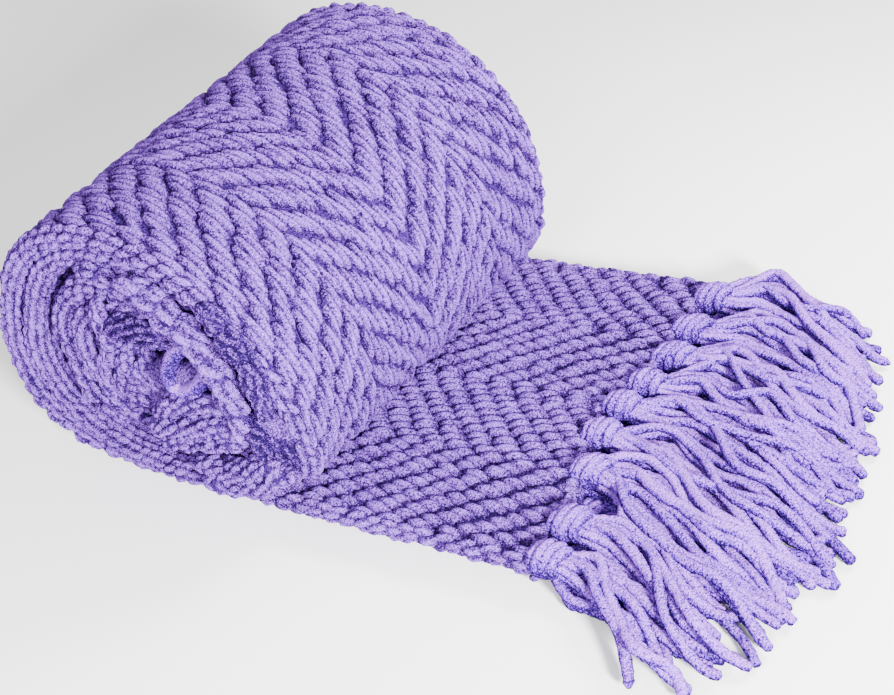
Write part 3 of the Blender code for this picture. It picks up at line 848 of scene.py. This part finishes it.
def make_mouth_yarn():
    """The bodies of the crumpled folds in the roll's mouth, and the loop of yarn beside them."""
    tree = yarn_tree()
    pieces = []
    # The last column is painted light: the loop of yarn is lifted to 1.35; the materials of the folds and hollows don't
    # use it.
    kinds = (
        ("mouth_folds", CRUMPLES, PAINTED_SHADE_CLOTH, 0.80, 0.9),
        ("mouth_hollow", HOLLOWS, SHADED, 1.0, 1.0),
        ("mouth_loop", (HOOK,), YARN, 1.0, 1.35),
    )
    for name, folds, material, fill, tint in kinds:
        points, edges, girths, tones_and_painted_light = [], [], [], []
        for fold in folds:
            line = mouth_line(fold, 0.003)
            start = len(points)
            points += [p - CENTRE for p in line]
            edges += [(start + i, start + i + 1) for i in range(len(line) - 1)]
            girths += [fold["girth"] * fill * (0.6 if k in (0, len(line) - 1) else 1.0) for k in range(len(line))]
            tones_and_painted_light += [tint] * len(line)
        cloud = point_cloud(name, points, edges, girth=girths, tint=tones_and_painted_light)
        pieces.append(tree.apply(cloud, {"Sides": 16, "Yarn": material}, name))
    return pieces


def cloth_section(turn):
    """Across and height of the four plies of the folded cloth, from one free edge to the other."""
    near, far, radius = fold_centres(turn)
    deep = FLOOR_SINK + 0.0006 if turn < 0.05 else 0.0037
    outer, second = deep, radius * 2 - PLY * 0.42
    third, inner = radius * 2 + PLY * 0.42, radius * 4 - 0.0036
    steps = 14
    points = []
    for k in range(steps + 1):
        points.append((far[0] - 0.004 + (near[0] - far[0] + 0.004) * k / steps, second))
    for k in range(1, 6):
        angle = math.pi * k / 6
        middle, half = (outer + second) / 2, (second - outer) / 2
        points.append((near[0] - 0.0042 * math.sin(angle), middle + half * math.cos(angle)))
    for k in range(steps + 1):
        points.append((near[0] + (far[0] - near[0]) * k / steps, outer))
    for part, side in (((outer, second), 0), ((third, inner), 1)):
        for k in range(1, 6):
            angle = math.pi * k / 6
            middle, half = sum(part) / 2, (part[1] - part[0]) / 2
            points.append((far[side] + 0.0042 * math.sin(angle), middle - half * math.cos(angle)))
        if side == 0:
            points.append((min(far) - 0.001, radius * 2))
    for k in range(steps + 1):
        points.append((far[1] + (near[1] - far[1]) * k / steps, inner))
    for k in range(1, 6):
        angle = math.pi * k / 6
        middle, half = (third + inner) / 2, (inner - third) / 2
        points.append((near[1] - 0.0042 * math.sin(angle), middle + half * math.cos(angle)))
    for k in range(steps + 1):
        points.append((near[1] + (far[1] - 0.004 - near[1]) * k / steps, third))
    return points


def make_cloth():
    """The cloth itself as one sheet: four plies, rolled up as the band is."""
    lengths = np.concatenate([np.linspace(0, 0.3, 31), np.linspace(0.308, BAND_LENGTH, 150)])
    verts, faces = [], []
    for length in lengths:
        turn = turn_at(length)
        section = cloth_section(turn)
        verts += [tuple(band_point(turn, across, height) - CENTRE) for across, height in section]
    count = len(section)
    for i in range(len(lengths) - 1):
        for j in range(count - 1):
            a = i * count + j
            faces.append((a, a + count, a + count + 1, a + 1))
    mesh = bpy.data.meshes.new("folded_cloth")
    mesh.from_pydata(verts, [], faces)
    mesh.shade_smooth()
    # The sheet is real cloth, coloured dark as painted shade for the gaps between stitches.
    mesh.materials.append(PAINTED_SHADE_CLOTH)
    cloth = bpy.data.objects.new("folded_cloth", mesh)
    bpy.context.scene.collection.objects.link(cloth)
    return cloth


def tip_x(y):
    """How far the edge of the flat end reaches at a place across it."""
    across = np.linspace(0.012, BAND_WIDTH - 0.012, 60)
    corners = [band_point(-1, a, 0) for a in across]
    return float(np.interp(y, [c[1] for c in corners], [c[0] for c in corners]))


def lane_y(lane, x):
    """Where a lane of strands lies at a distance x; lane 0 is the near side of the fringe, 1 the far side."""
    near = float(np.interp(x, FRINGE_SIDES["x"], FRINGE_SIDES["near"]))
    far = float(np.interp(x, FRINGE_SIDES["x"], FRINGE_SIDES["far"]))
    return near + (far - near) * lane


def knot_wraps(centre, half_width, knot):
    """Lines of yarn wound round a knot: slanting wraps side by side, bulging in the middle."""
    lines = []
    lean = yarn_dice.uniform(0.22, 0.42)
    for place in (-0.0080, -0.0028, 0.0026, 0.0080):
        slant = lean + yarn_dice.uniform(-0.10, 0.10)
        points = []
        turns = np.linspace(0, 2 * math.pi, 21) + yarn_dice.uniform(0, 1)
        swell = math.sqrt(1 - (place / 0.0125) ** 2) * yarn_dice.uniform(0.97, 1.05)
        for angle in turns:
            side = math.cos(angle) * (half_width * 1.04 - YARN_RADIUS * 0.8) * swell
            up = math.sin(angle) * (knot["height"] - YARN_RADIUS * 0.8) * swell
            jig = yarn_dice.normal(0, 0.0003)
            points.append((centre[0] + place + side * slant + jig, centre[1] + side, max(centre[2] + up, YARN_RADIUS)))
        points[-1] = points[0]
        lines.append((points, [YARN_RADIUS * 1.02] * len(points), yarn_dice.uniform(0.85, 1.1)))
    return lines


def strand_line(root, lanes, floor, tip, run, sway, wave, phase, curl):
    """Middle line of one strand from its knot to its rounded tip, and its girth."""
    points, girths = [], []
    stout = YARN_RADIUS * yarn_dice.uniform(0.90, 1.12)
    steps = np.concatenate([np.linspace(0, 1, STRAND_POINTS), [1.008, 1.014, 1.018]])
    for step in steps:
        x = root[0] + (tip - root[0]) * step
        free = ramp(x, root[0], root[0] + run)
        swing = math.sin(2 * math.pi * x / wave + phase) + 0.22 * math.sin(2 * math.pi * x / (wave * 0.47) + phase * 3)
        lane = lanes[0] + (lanes[1] - lanes[0]) * ramp(step, 0.15, 0.95)
        end = max(0.0, step - 0.72) / 0.28
        y = root[1] + (lane_y(lane, x) + sway * swing - root[1]) * free + curl * end * end
        droop = ramp(step, 0.66, 1.0) * (floor - YARN_RADIUS) * 0.8
        lift = 0.0016 * free * math.sin(2 * math.pi * x / (wave * 0.8) + phase * 2)
        z = root[2] + (floor - root[2]) * free - droop + lift
        points.append((x - abs(curl) * 0.35 * end * end, max(y, NEAR_LIMIT), max(z, stout + FUZZ * 0.6)))
        girths.append(stout * (0.84 + 0.16 * free) * (1 + yarn_dice.normal(0, 0.045)))
    for k, share in zip((-3, -2, -1), (0.90, 0.62, 0.15)):
        girths[k] = stout * share
    return points, girths


def tassel_lines(place, count, y, half_width, knot):
    """Every line of yarn of one tassel."""
    centre = (tip_x(y) + knot["depth"] - KNOT_OVERLAP, y, knot["z"])
    lines = knot_wraps(centre, half_width, knot)
    number = knot["strands"]
    for layer in range(knot["layers"]):
        lift = (layer - (knot["layers"] - 1) / 2) * 0.006
        for n in range(number + (knot["loose"] if layer == knot["layers"] - 1 else 0)):
            loose = n >= number
            spot = yarn_dice.uniform(0, number) if loose else n + 0.5 + yarn_dice.uniform(-0.3, 0.3) * (1 if layer or knot["first"] else 4)
            lane = (place * number + spot) / (count * number)
            lanes = (lane, float(np.clip(lane + yarn_dice.normal(0, 0.055 if loose else 0.026), 0.0, 1.0)))
            root = (
                centre[0] + 0.002,
                y + (min(n, number - 1) - (number - 1) / 2) * half_width * 0.30,
                centre[2] + lift - 0.002,
            )
            reach = float(np.interp(lane, REACH["lane"], REACH["x"]))
            floor = YARN_RADIUS + (knot["first"] + layer + (0.9 if loose else 0)) * LAYER_HEIGHT
            tip = reach - yarn_dice.uniform(0.0, 0.038) + 0.006
            path, girth = strand_line(
                root, lanes, floor, tip, knot["run"],
                yarn_dice.uniform(0.004, 0.010) if loose else yarn_dice.uniform(0.0015, 0.0042),
                yarn_dice.uniform(0.070, 0.130), yarn_dice.uniform(0, 2 * math.pi), yarn_dice.normal(0, 0.009),
            )
            # The lowest layer of strands is darkened by 0.32 as painted shade; the rest is random tone.
            lines.append((path, girth, yarn_dice.uniform(0.88, 1.12) - (0.32 if layer + knot["first"] == 0 else 0)))
    return lines


def make_tassels():
    """Knots and strands of every tassel, one piece for each solid tassel."""
    tree = yarn_tree()
    pieces = []
    for prefix, table, knot in (("tassel_top", TOP_KNOTS, TOP_KNOT), ("tassel_under", LOWER_KNOTS, LOWER_KNOT)):
        count = len(table["y"])
        for place, (y, half_width) in enumerate(zip(table["y"], table["half_width"])):
            points, edges, girths, tones_and_painted_light = [], [], [], []
            name = f"{prefix}_{place + 1:02d}"
            lines = tassel_lines(place, count, y, half_width, knot)
            lines += [(*stray_line(stray), stray["tint"]) for stray in STRAYS if stray["of"] == name]
            for path, girth, tint in lines:
                start = len(points)
                points += [np.array(p) - CENTRE for p in path]
                girths += girth
                tones_and_painted_light += [tint] * len(path)
                edges += [(start + i, start + i + 1) for i in range(len(path) - 1)]
            cloud = point_cloud(name + "_yarn", points, edges, girth=girths, tint=tones_and_painted_light)
            piece = tree.apply(cloud, {"Sides": YARN_SIDES, "Yarn": YARN}, name + "_yarn")
            pieces.append((piece, name))
    return pieces


def soft_light(name, place, aim, size, power, colour=(1, 1, 1)):
    """One large square lamp that looks at a point."""
    lamp = bpy.data.lights.new(name, "AREA")
    lamp.shape = "SQUARE"
    lamp.size = size
    lamp.energy = power
    lamp.color = colour
    holder = bpy.data.objects.new(name, lamp)
    holder.location = place
    holder.rotation_euler = (Vector(aim) - Vector(place)).to_track_quat("-Z", "Y").to_euler()
    bpy.context.scene.collection.objects.link(holder)


def make_stage():
    """Pale floor, even white surroundings and soft lamps."""
    paint = Paint("studio_floor")
    paint.feed(Base_Color=(0.93, 0.93, 0.94, 1), Roughness=0.9)
    mesh = bpy.data.meshes.new("studio_floor")
    side = 6.0
    mesh.from_pydata([(-side, -side, 0), (side, -side, 0), (side, side, 0), (-side, side, 0)], [], [(0, 1, 2, 3)])
    mesh.materials.append(paint.material)
    floor = bpy.data.objects.new("studio_floor", mesh)
    bpy.context.scene.collection.objects.link(floor)
    world = bpy.data.worlds.new("studio")
    world.use_nodes = True
    world.node_tree.nodes["Background"].inputs["Color"].default_value = (1, 1, 1, 1)
    world.node_tree.nodes["Background"].inputs["Strength"].default_value = 1.05
    bpy.context.scene.world = world
    soft_light("key_light", (1.45, -0.98, 0.74), (-0.02, 0.0, 0.06), 0.28, 215)
    soft_light("fringe_light", (0.50, 0.40, 0.62), (0.20, 0.00, 0.0), 0.30, 13)
    soft_light("front_light", (0.30, -1.25, 1.10), (0.05, 0.0, 0.03), 0.45, 23)
    return floor


def make_camera():
    """The photograph's camera."""
    right, up, back = (Vector(axis) for axis in camera_axes())
    lens = bpy.data.cameras.new("photo_camera")
    lens.sensor_width = 36
    lens.lens = FOCAL_PIXELS / IMAGE_WIDTH * lens.sensor_width
    camera = bpy.data.objects.new("photo_camera", lens)
    turn = Matrix((right, up, back)).transposed().to_4x4()
    camera.matrix_world = Matrix.Translation(Vector(CAMERA["place"]) - Vector(CENTRE)) @ turn
    bpy.context.scene.collection.objects.link(camera)
    bpy.context.scene.camera = camera


make_camera()
floor = make_stage()
cloth = make_cloth()
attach(cloth, "root")
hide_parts("blanket")
stitches = make_stitches() + make_mouth_yarn()
for piece in stitches:
    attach(piece, "root")
for piece, node in make_tassels():
    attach(piece, "root")
    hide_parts(node)

for obj in bpy.data.objects:
    if obj.type == "MESH" and not obj.hide_render:
        lows = [round(min(v.co[k] for v in obj.data.vertices), 4) for k in range(3)]
        print("piece", obj.name, sum(len(p.vertices) - 2 for p in obj.data.polygons), lows)
